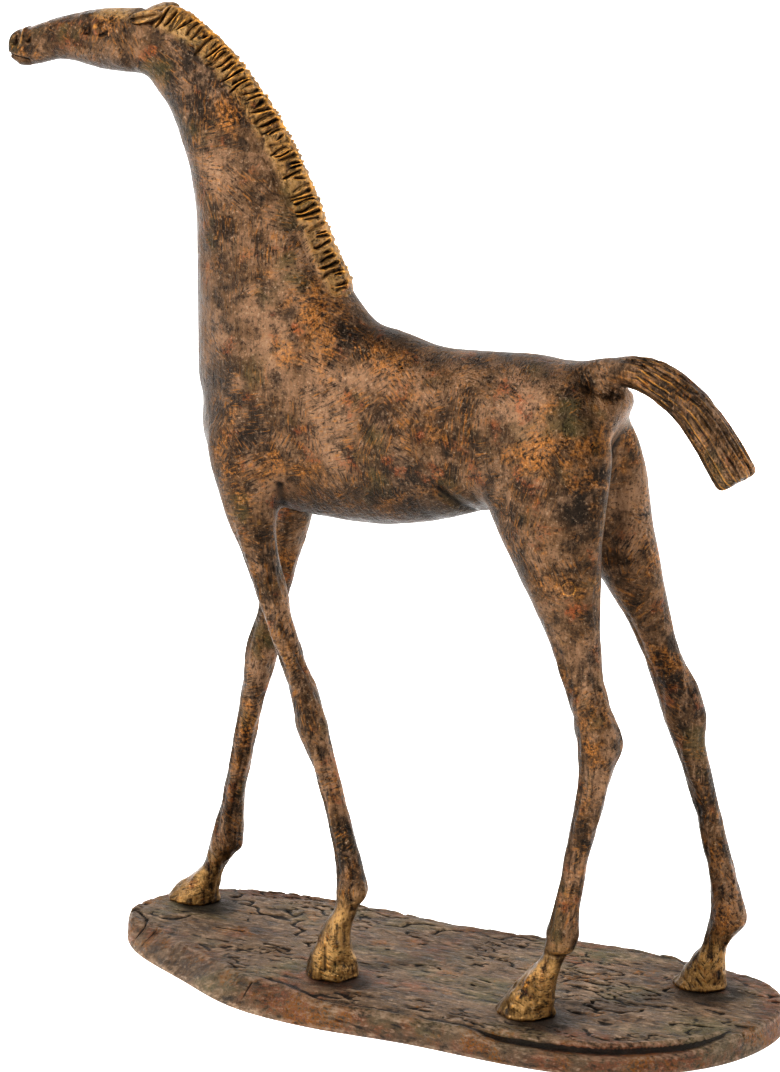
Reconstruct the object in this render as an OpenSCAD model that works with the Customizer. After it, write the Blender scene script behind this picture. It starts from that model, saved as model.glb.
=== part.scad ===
// Bronze statuette: a tall, slender horse walking on an irregular oval slab.
// Millimetres, +Z up. The origin is the centre of the slab's flat underside,
// the nose points to -X and the horse's left side faces -Y.

/* [Base] */
// Length of the slab, end to end
base_l = 242; // [236:1:246]
// Width of the slab
base_w = 93; // [90:1:98]
// Height of the slab's walking surface
base_h = 9; // [8:0.5:10]
// Thickness of the felt let into the underside
felt_t = 1; // [0.5:0.25:2]
// Width of the bronze rim left around the felt
felt_rim = 6; // [4:0.5:9]

/* [Castings] */
// Wall thickness of the hollow body and neck
wall = 3.5; // [2.5:0.25:4.5]
// Diameter of the plugs that close the core pin holes
plug_d = 5.8; // [4:0.2:7]
// Height of the mane strip above the crest
mane_h = 2.6; // [1.5:0.1:3.5]

/* [Dowels] */
// Diameter of the dowels in the leg joints
leg_dowel_d = 4; // [3:0.25:4.5]
// Diameter of the dowels in the fetlock joints
foot_dowel_d = 2.5; // [2:0.25:3]
// Diameter of the dowel between neck and head
head_dowel_d = 5; // [3:0.5:6]
// Diameter of the dowel that holds the tail
tail_dowel_d = 4; // [3:0.25:4.5]

/* [Screws] */
// Thread diameter of the screws up into the hooves
screw_d = 3; // [2.5:0.5:3]
// Diameter of the screw heads
head_d = 5.5; // [5:0.1:6]
// Height of the screw heads
head_h = 1.6; // [1.2:0.1:2]
// Diameter of the washers
washer_d = 7; // [6.5:0.1:7.5]
// Thickness of the washers
washer_t = 0.5; // [0.4:0.1:0.8]
// Length of thread in the hoof
grip = 7; // [5:0.5:8]

/* [Smoothness] */
// Corners around the body, neck and head
round_body = 24; // [20:4:32]
// Corners around each leg, the tail and the mane
round_limb = 14; // [12:2:20]
// Steps between two stations of a curve
steps = 2; // [2:1:3]

/* [Hidden] */

bronze = [0.32, 0.25, 0.19];
$fn = 40;

// Every station is [x, y, z, half depth, half width].
// One curve runs from the muzzle over the poll and down the neck into the chest.
neckline = [
    [-157, 0, 312.5, 4, 3.4],
    [-153, 0, 312.6, 6.3, 4.6],
    [-147, 0, 313.6, 6.7, 5],
    [-139, 0, 316.2, 7, 5.2],
    [-131, 0, 317.4, 8.3, 6],
    [-122, 0, 317.7, 10.2, 7.6],
    [-113, 0, 317.8, 10.8, 8],
    [-104, 0, 318, 11.2, 7.4],
    [-96, 0, 315.5, 12.6, 7.6],
    [-88, 0, 309, 14, 8.4],
    [-80, 0, 299, 15.8, 9.6],
    [-72.5, 0, 285.5, 18, 11],
    [-66, 0, 268, 21, 13],
    [-61.5, 0, 248, 25, 15],
    [-57.5, 0, 231, 29.8, 17],
    [-52, 0, 214, 35.4, 18.5],
    [-51, 0, 198, 31, 18.5],
    [-54, 0, 184, 20, 15],
];
muzzle = 0;
head_end = 8;     // the poll, where the head is joined on
cavity_top = 10;  // the neck is solid above this
neck_end = 13;    // the joint above the withers
root_hollow = 16; // the hollow neck root ends here

// The barrel, from the chest to the rump
barrel = [
    [-80, 0, 206, 9, 6],
    [-76, 0, 204, 19, 12],
    [-67, 0, 200.5, 28, 16.5],
    [-52, 0, 197.5, 33, 19],
    [-34, 0, 197.5, 34.5, 20],
    [-16, 0, 196.5, 33.5, 20.5],
    [0, 0, 196.5, 30.2, 20.5],
    [16, 0, 199, 26.8, 20],
    [32, 0, 200.5, 26.4, 20],
    [46, 0, 203, 24.4, 19.5],
    [57, 0, 207.5, 19.5, 17],
    [63.5, 0, 208.5, 14, 13],
    [67.5, 0, 207, 7, 8],
];
// First and last station of the hollow in the barrel
barrel_hollow = [2, 9];

// The limbs, each from inside the body down to the walking surface
left_fore = [
    [-58, -8, 206, 17, 8.5],
    [-61, -10, 190, 17.5, 10],
    [-62, -12, 176, 13, 8.5],
    [-60.3, -13.8, 164, 9.3, 6.9],
    [-57.7, -14.5, 155, 7, 6.2],
    [-53.5, -15, 143, 6, 5.6],
    [-48.5, -16, 129.5, 5.1, 5],
    [-44, -16.5, 118, 4.4, 4.4],
    [-40, -17, 109, 5, 5],
    [-37, -17.5, 100, 5.9, 5.6],
    [-34.5, -18, 91, 5.3, 5],
    [-31, -18, 82, 4.6, 4.2],
    [-26.5, -19, 69, 4.3, 4],
    [-22.3, -19.5, 54, 4.3, 4.1],
    [-20, -20, 44, 5.6, 4.8],
    [-20.5, -20.5, 37, 5.6, 4.8],
    [-24.5, -21, 28, 4.6, 4.6],
    [-26.5, -21, 20, 6.4, 6],
    [-27, -21, 13, 8.6, 7.6],
    [-27, -21, base_h, 9.4, 8.2],
];
right_fore = [
    [-57, 8, 206, 17, 8.5],
    [-57, 10, 188, 17, 10],
    [-57, 11, 174, 11.5, 8.5],
    [-57.5, 12, 163, 8, 7.2],
    [-60, 12.5, 151, 6.4, 6],
    [-63, 13, 138, 5.6, 5.2],
    [-67, 14, 124, 5, 4.8],
    [-70.5, 15, 114, 5.4, 5.2],
    [-72, 15, 106, 5.9, 5.5],
    [-74, 15.5, 97, 4.8, 4.6],
    [-76.5, 16, 86, 4.2, 4.1],
    [-80.5, 17, 71, 4, 4],
    [-84.5, 19, 55, 4.1, 4],
    [-87, 20, 45, 4.6, 4.4],
    [-89.5, 21, 34, 5.9, 5.3],
    [-92.5, 21.5, 27, 4.8, 4.6],
    [-96.5, 22, 21, 4.8, 5],
    [-101, 22.5, 15, 7.6, 7],
    [-103.5, 23, base_h, 10, 8.4],
];
left_hind = [
    [46, -7, 213, 18, 8.5],
    [46.5, -11, 200, 23, 12],
    [46, -13, 186, 23, 11.5],
    [48.5, -14.5, 173, 19.4, 10.4],
    [52, -15.5, 161, 15.4, 9.4],
    [55.5, -16, 149, 11.8, 8.4],
    [58.5, -16.5, 138, 9, 7.4],
    [62.5, -18, 125, 7.2, 6.4],
    [66.5, -19, 115, 7.2, 6],
    [69.5, -19.5, 106, 8, 6],
    [68.8, -20, 98, 6.4, 5.4],
    [67.5, -20, 90, 5.3, 4.8],
    [65, -21, 77, 4.6, 4.4],
    [62, -22, 61, 4.2, 4.1],
    [59.8, -22.5, 49, 4.4, 4.3],
    [58.6, -23, 40, 5.6, 5],
    [57, -23, 33, 5, 4.8],
    [53, -23.5, 26, 5, 5],
    [48.5, -23.5, 18, 7.6, 6.8],
    [45.5, -23.5, base_h, 10.4, 8.6],
];
right_hind = [
    [46, 7, 213, 18, 8.5],
    [47, 11, 200, 22, 12],
    [50, 13, 186, 21.5, 11.5],
    [54, 14.5, 173, 18.4, 10.4],
    [60, 15.5, 161, 14.2, 9.4],
    [65.5, 16, 150, 10.8, 8.4],
    [70.5, 16.5, 139, 8.2, 7.2],
    [75, 17.5, 127, 6.6, 6.2],
    [79.5, 18.5, 117, 7.6, 6],
    [82, 19, 108, 7.9, 6],
    [84, 20, 98, 5.8, 5.2],
    [87.5, 20.5, 86, 4.8, 4.5],
    [91.5, 22, 71, 4.4, 4.1],
    [95.2, 23, 54, 4.5, 4.1],
    [97.5, 24, 42, 5.8, 4.8],
    [98, 24.5, 34, 6.4, 5.2],
    [94.5, 25, 27, 4.8, 4.6],
    [91, 25, 19, 6, 5.8],
    [88.5, 25, base_h, 9.8, 8.2],
];
limbs = [left_fore, right_fore, left_hind, right_hind];
// Station of each limb's joint with the body, and of its joint at the fetlock
leg_top = [3, 3, 6, 6];
leg_foot = [15, 15, 16, 16];
// First and last station of the hollow in each haunch
haunch_hollow = [1, 5];

// The tail, arching up and back from the rump to a square cut end
dock = [
    [50, 0, 221, 4.5, 5.5],
    [58, 0, 223.5, 4.6, 5.4],
    [66, 0, 224.6, 4.8, 5.4],
    [75, 0, 224, 5.6, 5.8],
    [84, 0, 220.4, 6.2, 6.2],
    [92, 0, 214, 6.4, 6.5],
    [99, 0, 205.5, 6.7, 6.8],
    [105, 0, 196.5, 7, 7],
    [107.5, 0, 192.5, 6.6, 6.6],
];
tail_root = 2;

// The mane's centre line, just above the crest of the neck
crest = [
    [-95, 0, 328.6],
    [-88.5, 0, 325.4],
    [-80, 0, 319.4],
    [-70.5, 0, 310.6],
    [-61.5, 0, 299.6],
    [-53, 0, 287.5],
    [-46, 0, 275],
    [-40.5, 0, 264],
    [-36, 0, 254],
];

// Centre line and radii of the left ear, laid back along the poll
ear = [
    [-112, -4.5, 325, 1.6, 1.4],
    [-108.5, -5.2, 327, 2.6, 2.2],
    [-104, -5.4, 328.8, 3, 2.4],
    [-100, -5.2, 330, 2.4, 2],
    [-96.5, -5, 330.6, 1, 1],
];

// Corners of the slab's outline, taken counter-clockwise, as shares of its half
// length and half width
slab_outline = [
    [1, 0.08], [0.99, 0.5], [0.87, 0.84], [0.62, 1], [0.32, 0.98], [0, 0.91], [-0.3, 0.95],
    [-0.6, 0.97], [-0.8, 0.84], [-0.95, 0.52], [-0.99, 0.12], [-0.9, -0.26], [-0.67, -0.62],
    [-0.45, -0.92], [-0.2, -1.02], [0.1, -0.99], [0.4, -1.02], [0.6, -0.97], [0.78, -0.76],
    [0.93, -0.38],
];

// Core pin holes: place, then direction out of the wall
core_pins = [
    [[58.5, -20.4, 157], [1, -3, 0]],
    [[57, 21.4, 167], [0, 1, 0]],
    [[-60, 14, 200], [0, 1, 0]],
];
// Screws stand a little behind the centre of each hoof
screw_back = 2;

// How far each dowel reaches into either part
leg_reach = 8;
foot_reach = 5;
head_reach = 9;
tail_reach = 8;

clearance = 0.4;    // round screws and washers
felt_gap = 0.3;     // round the felt
sleeve_t = 2;       // wall of the collar in the neck joint
chamfer = 1.5;      // round the slab's upper edge
outline_steps = 4;  // steps between two corners of the slab's outline
over = 1;           // how far a cutter runs past the face that it opens
pin_length = 20;    // a core pin, longer than the wall is thick

// Smooth curve through b and c, between neighbours a and d
function between(a, b, c, d, t) =
    (2 * b + (c - a) * t + (2 * a - 5 * b + 4 * c - d) * t * t
        + (3 * b - a - 3 * c + d) * t * t * t) / 2;

// Open curve through a list of stations
function curve(list, n = steps) = let (last = len(list) - 1) [
    for (i = [0 : last - 1], j = [0 : n - 1])
        between(list[max(i - 1, 0)], list[i], list[i + 1], list[min(i + 2, last)], j / n),
    list[last]
];

// Closed curve through a list of points
function loop(list, n) = let (m = len(list)) [
    for (i = [0 : m - 1], j = [0 : n - 1])
        between(list[(i + m - 1) % m], list[i], list[(i + 1) % m], list[(i + 2) % m], j / n)
];

function place(s) = [s[0], s[1], s[2]];
function unit(v) = v / norm(v);
function part(list, a, b) = [for (i = [a : b]) list[i]];
function thinner(list, t) = [for (s = list) [s[0], s[1], s[2], s[3] - t, s[4] - t]];

// Rings square to the curve's own direction
function cross_rings(route, sides) = let (last = len(route) - 1) [
    for (i = [0 : last]) let (
        along = unit(place(route[min(i + 1, last)]) - place(route[max(i - 1, 0)])),
        up = unit(cross(along, [0, 1, 0])),
        side = cross(up, along)
    ) [for (k = [0 : sides - 1]) let (a = 360 * k / sides)
        place(route[i]) + up * route[i][3] * cos(a) + side * route[i][4] * sin(a)]
];

// Level rings, for the limbs
function level_rings(route, sides) = [
    for (s = route) [for (k = [0 : sides - 1]) let (a = 360 * k / sides)
        place(s) + [s[3] * cos(a), s[4] * sin(a), 0]]
];

// Closed skin over a list of rings
module skin(rings) {
    n = len(rings[0]);
    last = len(rings) - 1;
    polyhedron(
        points = [for (r = rings, p = r) p],
        faces = [
            [for (k = [n - 1 : -1 : 0]) k],
            for (i = [0 : last - 1], k = [0 : n - 1]) let (m = (k + 1) % n, j = i + 1)
                each [[i * n + k, j * n + m, j * n + k], [i * n + k, i * n + m, j * n + m]],
            [for (k = [0 : n - 1]) last * n + k],
        ]);
}

// Closed wall through a loop of rings: out along one side and back along the other
module wall_skin(rings) {
    n = len(rings[0]);
    count = len(rings);
    polyhedron(
        points = [for (r = rings, p = r) p],
        faces = [for (i = [0 : count - 1], k = [0 : n - 1])
            let (m = (k + 1) % n, j = (i + 1) % count)
            each [[i * n + k, j * n + m, j * n + k], [i * n + k, i * n + m, j * n + m]]]);
}

// One closed skin out of overlapping forms
module fused() { resize([0, 0, 0]) union() children(); }

neck_rings = cross_rings(curve(neckline), round_body);
neck_hollow = cross_rings(curve(thinner(neckline, wall)), round_body);
barrel_rings = cross_rings(curve(thinner(barrel, wall)), round_body);
limb_rings = [for (l = limbs) level_rings(curve(l), round_limb)];
haunch_rings = [for (i = [2, 3]) level_rings(curve(thinner(limbs[i], wall)), round_limb)];

// The three closed forms that other parts meet
module neck_form(a, b) { skin(part(neck_rings, a * steps, b * steps)); }
module barrel_form() { skin(cross_rings(curve(barrel), round_body)); }
module tail_form(a, b) { skin(part(cross_rings(curve(dock), round_limb), a * steps, b * steps)); }

module limb(i, a, b) { skin(part(limb_rings[i], a * steps, b * steps)); }

// Draws its child with +Z turned from p towards q
module towards(p, q) {
    d = q - p;
    translate(p) rotate([0, acos(d[2] / norm(d)), atan2(d[1], d[0])]) children();
}

// A straight dowel half in each of two parts, centred on station i
module dowel(list, i, d, reach) {
    p = place(list[i]);
    towards(p - reach * unit(place(list[i + 1]) - place(list[i - 1])), p)
        cylinder(d = d, h = 2 * reach);
}
module leg_dowel(i) { dowel(limbs[i], leg_top[i], leg_dowel_d, leg_reach); }
module foot_dowel(i) { dowel(limbs[i], leg_foot[i], foot_dowel_d, foot_reach); }
module head_pin() { dowel(neckline, head_end, head_dowel_d, head_reach); }
module tail_pin() { dowel(dock, tail_root, tail_dowel_d, tail_reach); }

// Cylinder along a core pin, from inside the wall outwards
module core_pin(pin, depth) {
    towards(pin[0], pin[0] + pin[1]) cylinder(d = plug_d, h = depth);
}

// Where a hoof's screw crosses the walking surface
function sole(i) = place(limbs[i][len(limbs[i]) - 1]) + [screw_back, 0, 0];

// ---- base ----
function outline(inset) = [for (p = loop(slab_outline, outline_steps))
    [p[0] * (base_l / 2 - inset), p[1] * (base_w / 2 - inset)]];
head_z = felt_t + clearance;             // underside of the screw heads
washer_z = head_z + head_h;              // underside of the washers
pocket_h = washer_z + washer_t;          // height of the pockets for both

module base_plate() {
    color(bronze) difference() {
        union() {
            linear_extrude(base_h - chamfer) polygon(outline(0));
            linear_extrude(base_h) polygon(outline(chamfer));
        }
        translate([0, 0, -over]) linear_extrude(felt_t + over) polygon(outline(felt_rim));
        for (i = [0 : 3]) translate([sole(i)[0], sole(i)[1], -over]) {
            cylinder(d = screw_d + clearance, h = base_h + 2 * over);
            cylinder(d = washer_d + clearance, h = pocket_h + over);
        }
    }
}

module base_felt() {
    color("darkolivegreen") linear_extrude(felt_t) polygon(outline(felt_rim + felt_gap));
}

// ---- body ----
module torso_shell() {
    fused() difference() {
        union() {
            barrel_form();
            neck_form(neck_end, len(neckline) - 1);
            tail_form(0, tail_root);
            for (i = [0 : 3]) limb(i, 0, leg_top[i]);
        }
        skin(part(barrel_rings, barrel_hollow[0] * steps, barrel_hollow[1] * steps));
        skin(part(neck_hollow, neck_end * steps - 1, root_hollow * steps));
        for (rings = haunch_rings)
            skin(part(rings, haunch_hollow[0] * steps, haunch_hollow[1] * steps));
    }
}

module torso() {
    color(bronze) difference() {
        torso_shell();
        for (i = [0 : 3]) leg_dowel(i);
        tail_pin();
        for (pin = core_pins) core_pin(pin, pin_length);
    }
}

module neck() {
    color(bronze) difference() {
        fused() difference() {
            neck_form(head_end, neck_end);
            skin(part(neck_hollow, cavity_top * steps, neck_end * steps + 1));
        }
        head_pin();
    }
}

module head() {
    color(bronze) difference() {
        neck_form(muzzle, head_end);
        head_pin();
    }
}

module mane() {
    line = [for (p = crest) [p[0], p[1], p[2], mane_h, mane_h]];
    color(bronze) fused() difference() {
        skin(cross_rings(curve(line), round_limb));
        neck_form(muzzle, len(neckline) - 1);
    }
}

module left_ear() {
    color(bronze) fused() difference() {
        skin(cross_rings(curve(ear), round_limb));
        neck_form(muzzle, neck_end);
    }
}
module right_ear() { mirror([0, 1, 0]) left_ear(); }

module leg(i) {
    color(bronze) difference() {
        limb(i, leg_top[i], leg_foot[i]);
        leg_dowel(i);
        foot_dowel(i);
    }
}

module foot(i) {
    color(bronze) difference() {
        limb(i, leg_foot[i], len(limbs[i]) - 1);
        foot_dowel(i);
        translate(sole(i) - [0, 0, over]) cylinder(d = screw_d, h = grip + 2 * over);
    }
}

module tail() {
    color(bronze) difference() {
        tail_form(tail_root, len(dock) - 1);
        tail_pin();
    }
}

// ---- fixings and inner parts ----
module core_plugs() { color("peru") for (pin = core_pins) core_pin(pin, wall); }
module head_dowel() { color("goldenrod") head_pin(); }
module tail_dowel() { color("goldenrod") tail_pin(); }
module leg_dowels() { color("goldenrod") for (i = [0 : 3]) leg_dowel(i); }
module foot_dowels() { color("goldenrod") for (i = [0 : 3]) foot_dowel(i); }

// Short collar inside the neck joint
module neck_sleeve() {
    a = neck_end * steps - 1;
    b = neck_end * steps + 1;
    inside = cross_rings(curve(thinner(neckline, wall + sleeve_t)), round_body);
    color("goldenrod") wall_skin([
        for (i = [a : b]) neck_hollow[i],
        for (i = [b : -1 : a]) inside[i]
    ]);
}

module foot_screws() {
    color("silver") for (i = [0 : 3]) translate([sole(i)[0], sole(i)[1], head_z]) {
        cylinder(d = head_d, h = head_h);
        cylinder(d = screw_d, h = base_h + grip - head_z);
    }
}

module foot_washers() {
    color("silver") for (i = [0 : 3]) translate([sole(i)[0], sole(i)[1], washer_z])
        difference() {
            cylinder(d = washer_d, h = washer_t);
            translate([0, 0, -over])
                cylinder(d = screw_d + clearance / 2, h = washer_t + 2 * over);
        }
}

base_plate();
base_felt();
torso();
neck();
head();
mane();
left_ear();
right_ear();
leg(0);  // left_fore_leg
leg(1);  // right_fore_leg
leg(2);  // left_hind_leg
leg(3);  // right_hind_leg
foot(0);  // left_fore_foot
foot(1);  // right_fore_foot
foot(2);  // left_hind_foot
foot(3);  // right_hind_foot
tail();
core_plugs();
neck_sleeve();
head_dowel();
tail_dowel();
leg_dowels();
foot_dowels();
foot_screws();
foot_washers();
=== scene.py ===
import functools
import itertools
import math

import bmesh
import bpy
import numpy as np
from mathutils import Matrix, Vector, geometry
from mathutils.bvhtree import BVHTree
from mathutils.kdtree import KDTree


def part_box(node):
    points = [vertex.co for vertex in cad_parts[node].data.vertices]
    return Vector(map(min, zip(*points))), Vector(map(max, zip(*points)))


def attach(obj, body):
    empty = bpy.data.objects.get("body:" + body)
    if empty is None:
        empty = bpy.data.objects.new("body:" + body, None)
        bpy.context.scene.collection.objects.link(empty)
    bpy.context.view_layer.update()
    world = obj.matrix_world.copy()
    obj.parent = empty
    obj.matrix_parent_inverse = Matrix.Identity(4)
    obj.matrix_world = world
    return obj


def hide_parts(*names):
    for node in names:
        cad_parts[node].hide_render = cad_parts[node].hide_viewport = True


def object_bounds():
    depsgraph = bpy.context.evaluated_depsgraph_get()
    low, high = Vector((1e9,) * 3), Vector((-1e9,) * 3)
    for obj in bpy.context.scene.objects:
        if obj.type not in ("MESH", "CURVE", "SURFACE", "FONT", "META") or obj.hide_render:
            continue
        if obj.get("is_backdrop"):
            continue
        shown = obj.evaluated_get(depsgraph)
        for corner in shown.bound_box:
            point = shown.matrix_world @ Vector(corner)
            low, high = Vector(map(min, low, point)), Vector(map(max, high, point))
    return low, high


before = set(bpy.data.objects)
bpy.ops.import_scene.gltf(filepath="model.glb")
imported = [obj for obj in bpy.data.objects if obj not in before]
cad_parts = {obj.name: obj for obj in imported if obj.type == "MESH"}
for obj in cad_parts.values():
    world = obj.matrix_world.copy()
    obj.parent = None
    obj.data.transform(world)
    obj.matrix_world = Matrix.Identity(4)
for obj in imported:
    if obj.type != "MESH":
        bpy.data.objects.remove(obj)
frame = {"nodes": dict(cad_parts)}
CAD_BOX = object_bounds()

MM = 0.001
UP = np.array((0, 0, 1.0))
ACROSS = np.array((0, 1.0, 0))
LEFT, RIGHT = -1, 1
LIMBS = ("left_fore", "right_fore", "left_hind", "right_hind")
CASTINGS = ["torso", "neck", "head", "tail"]
CASTINGS += [limb + end for end in ("_leg", "_foot") for limb in LIMBS]
FILLERS = ["core_plugs", "neck_sleeve", "head_dowel", "tail_dowel", "leg_dowels", "foot_dowels"]
TORSO, NECK, HEAD, TAIL, LEG = range(5)     # places in CASTINGS; LEG is the first of four
FOOT = LEG + len(LIMBS)
VOXEL = 0.66            # side of the quads of the horse's skin
BORE_SIDES = 24
UNCUT = "uncut_normal"


# ---------------------------------------------------------------- places

def corners(node):
    """Lowest and highest corner of a CAD node, in mm."""
    return [np.array(c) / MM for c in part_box(node)]


def at(node, x, y, z):
    """Point at these shares of a CAD node's box, in mm."""
    low, high = corners(node)
    return low + (high - low) * (x, y, z)


def side_of(name):
    return LEFT if name.startswith("left") else RIGHT


def read(items, key):
    """One vector for each vertex, face or attribute value."""
    values = np.zeros(len(items) * 3)
    items.foreach_get(key, values)
    return values.reshape(-1, 3)


def points_of(mesh):
    return read(mesh.vertices, "co") / MM


def face_centres(mesh):
    return read(mesh.polygons, "center") / MM


def size_of(vectors):
    """Length of each row."""
    return np.linalg.norm(vectors, axis=1)


def flat_face(node, towards):
    """A CAD node's largest flat face that looks towards a direction: a point on it, its normal."""
    mesh = frame["nodes"][node].data
    mesh.calc_loop_triangles()
    co = points_of(mesh)
    tri = np.array([t.vertices for t in mesh.loop_triangles])
    cross = np.cross(co[tri[:, 1]] - co[tri[:, 0]], co[tri[:, 2]] - co[tri[:, 0]])
    area = size_of(cross)
    normal = cross / np.maximum(area, 1e-12)[:, None]
    offset = (normal * co[tri[:, 0]]).sum(1)
    keys = np.round(np.column_stack([normal * 50, offset * 5])).astype(int)
    groups, which = np.unique(keys, axis=0, return_inverse=True)
    total = np.bincount(which.ravel(), weights=area)
    facing = groups[:, :3] @ np.array(towards) > 25
    best = np.argmax(np.where(facing, total, 0))
    mine = which.ravel() == best
    n = (normal[mine] * area[mine, None]).sum(0)
    centre = (co[tri[mine]].mean(1) * area[mine, None]).sum(0) / area[mine].sum()
    return centre, n / np.linalg.norm(n)


# ---------------------------------------------------------------- noise

def smooth(x):
    x = np.clip(x, 0, 1)
    return x * x * (3 - 2 * x)


def lattice(ix, iy, iz, seed):
    """Repeatable number from 0 to 1 for each lattice corner."""
    n = (ix * 73856093) ^ (iy * 19349663) ^ (iz * 83492791) ^ (seed * 2654435761)
    n = n & 0xFFFFFFFF
    for _ in range(2):
        n = ((n ^ (n >> 16)) * 0x45D9F3B) & 0xFFFFFFFF
    return ((n ^ (n >> 16)) & 0xFFFFFF) / 0xFFFFFF


def noise(points, pitch, seed=0):
    """Smooth noise from -1 to 1, its bumps a pitch apart."""
    p = points / np.array(pitch, float)
    base = np.floor(p).astype(np.int64)
    f = p - base
    f = f * f * (3 - 2 * f)
    total = np.zeros(len(p))
    for corner in itertools.product((0, 1), repeat=3):
        weight = np.prod(np.where(corner, f, 1 - f), axis=1)
        total += weight * lattice(*(base + corner).T, seed)
    return 2 * total - 1


def fractal(points, pitch, octaves, seed=0):
    pitch = np.array(pitch, float)
    layers = [noise(points, pitch / 2 ** k, seed + k) / 2 ** k for k in range(octaves)]
    return sum(layers) / (2 - 0.5 ** (octaves - 1))


# ---------------------------------------------------------------- skins

class Skin:
    """A mesh's vertices and neighbours as arrays, to sculpt with."""

    def __init__(self, mesh):
        self.mesh = mesh
        self.co = points_of(mesh)
        ends = np.zeros(len(mesh.edges) * 2, np.int64)
        mesh.edges.foreach_get("vertices", ends)
        self.ends = ends.reshape(-1, 2)
        self.count = np.maximum(np.bincount(ends, minlength=len(self.co)), 1)

    def average(self, values):
        """Mean of each vertex's neighbours."""
        a, b = self.ends.T
        n = len(self.co)
        columns = values.reshape(n, -1).T
        sums = [np.bincount(a, c[b], n) + np.bincount(b, c[a], n) for c in columns]
        return (np.array(sums) / self.count).T.reshape(values.shape)

    def relax(self, weight, rounds):
        for _ in range(rounds):
            self.co += weight[:, None] * (self.average(self.co) - self.co)

    def blur(self, values, rounds):
        for _ in range(rounds):
            values = 0.5 * values + 0.5 * self.average(values)
        return values

    def write(self):
        self.mesh.vertices.foreach_set("co", (self.co * MM).ravel())
        self.mesh.update()

    def normals(self):
        self.write()
        return read(self.mesh.vertex_normals, "vector")

    def relief(self, rounds):
        """How far the skin stands above its surroundings, positive on ridges."""
        broad = self.co
        for _ in range(rounds):
            broad = 0.5 * broad + 0.5 * self.average(broad)
        return ((self.co - broad) * self.normals()).sum(1)

    def keep(self, name, values):
        """Stores a number per vertex for the materials to read."""
        layer = self.mesh.attributes.new(name, "FLOAT", "POINT")
        layer.data.foreach_set("value", values.astype(np.float32))


def new_object(name, data):
    obj = bpy.data.objects.new(name, data)
    bpy.context.scene.collection.objects.link(obj)
    return obj


def set_smooth(mesh):
    mesh.polygons.foreach_set("use_smooth", np.ones(len(mesh.polygons), bool))


def turn_outwards(bm, mesh):
    """Writes a closed bmesh to a mesh, its faces turned outwards."""
    bmesh.ops.recalc_face_normals(bm, faces=bm.faces)
    bm.to_mesh(mesh)
    bm.free()
    return mesh


def closed_mesh(name, co, faces):
    """Smooth-shaded closed mesh of these points, in mm, and faces."""
    mesh = bpy.data.meshes.new(name)
    mesh.from_pydata((co * MM).tolist(), [], faces)
    bm = bmesh.new()
    bm.from_mesh(mesh)
    turn_outwards(bm, mesh)
    set_smooth(mesh)
    return mesh


def solid_skin(names, voxel):
    """One closed skin of quads round all these CAD nodes."""
    bm = bmesh.new()
    for name in names:
        bm.from_mesh(frame["nodes"][name].data)
    bmesh.ops.remove_doubles(bm, verts=bm.verts, dist=0.001 * MM)
    source = bpy.data.meshes.new("source")
    bm.to_mesh(source)
    bm.free()
    obj = new_object("source", source)
    remesh = obj.modifiers.new("remesh", "REMESH")
    remesh.mode = "VOXEL"
    remesh.voxel_size = voxel * MM
    evaluated = obj.evaluated_get(bpy.context.evaluated_depsgraph_get())
    mesh = bpy.data.meshes.new_from_object(evaluated)
    bpy.data.objects.remove(obj)
    return mesh


# ---------------------------------------------------------------- the castings' joints

# Height of each limb's joint with the body, and of its fetlock joint.
PLANES = {limb: (corners(limb + "_leg")[1][2], corners(limb + "_foot")[1][2]) for limb in LIMBS}
HEAD_JOINT = flat_face("head", (1, 0, 0))
NECK_JOINT = flat_face("neck", (0.5, 0, -0.9))
TAIL_JOINT = flat_face("tail", (-1, 0, 0))
CROTCH = 5.2            # the limbs start this far from the middle plane


def in_quarter(points, limb):
    fore = limb.endswith("fore")
    side = points[:, 1] * side_of(limb) > CROTCH
    return side & ((points[:, 0] < 0) == fore)


def beyond(points, joint):
    return (points - joint[0]) @ joint[1]


def near(points, joint, reach):
    return size_of(points - joint[0]) < reach


def sole_of(limb):
    """Middle of a hoof on the slab."""
    low, high = corners(limb + "_foot")
    return (low + high)[:2] / 2


def casting_of(points):
    """Index in CASTINGS of the casting that each point belongs to."""
    label = np.zeros(len(points), int)
    label[(beyond(points, NECK_JOINT) < 0) & (points[:, 2] > NECK_JOINT[0][2] - 30)] = NECK
    above = (beyond(points, HEAD_JOINT) < 0) & (points[:, 2] > HEAD_JOINT[0][2] - 20)
    label[above & (points[:, 0] < HEAD_JOINT[0][0] + 15)] = HEAD
    tail = (beyond(points, TAIL_JOINT) < 0) & (points[:, 0] > TAIL_JOINT[0][0] - 3)
    line = np.interp(points[:, 0], [60, 84, 113], [218.6, 204, 168])
    label[tail & (points[:, 2] > line)] = TAIL
    for k, limb in enumerate(LIMBS):
        top, ankle = PLANES[limb]
        quarter = in_quarter(points, limb)
        label[quarter & (points[:, 2] < top)] = LEG + k
        label[quarter & (points[:, 2] < ankle)] = FOOT + k
    return label


# ---------------------------------------------------------------- the horse

def refine(mesh, chosen):
    """Splits every quad whose corners are all chosen into four."""
    bm = bmesh.new()
    bm.from_mesh(mesh)
    edges = [e for e in bm.edges if chosen[e.verts[0].index] and chosen[e.verts[1].index]]
    bmesh.ops.subdivide_edges(bm, edges=edges, cuts=1, use_grid_fill=True)
    bm.to_mesh(mesh)
    bm.free()
    return mesh


def blend_weight(co):
    """Where the castings flow into each other and are smoothed most."""
    weight = np.full(len(co), 0.04)
    low = corners("torso")[0][2]
    body = smooth((co[:, 2] - low - 16) / 16)
    return np.maximum(weight, 0.5 * body * (co[:, 0] < 90) * (co[:, 2] < 300))


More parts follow.
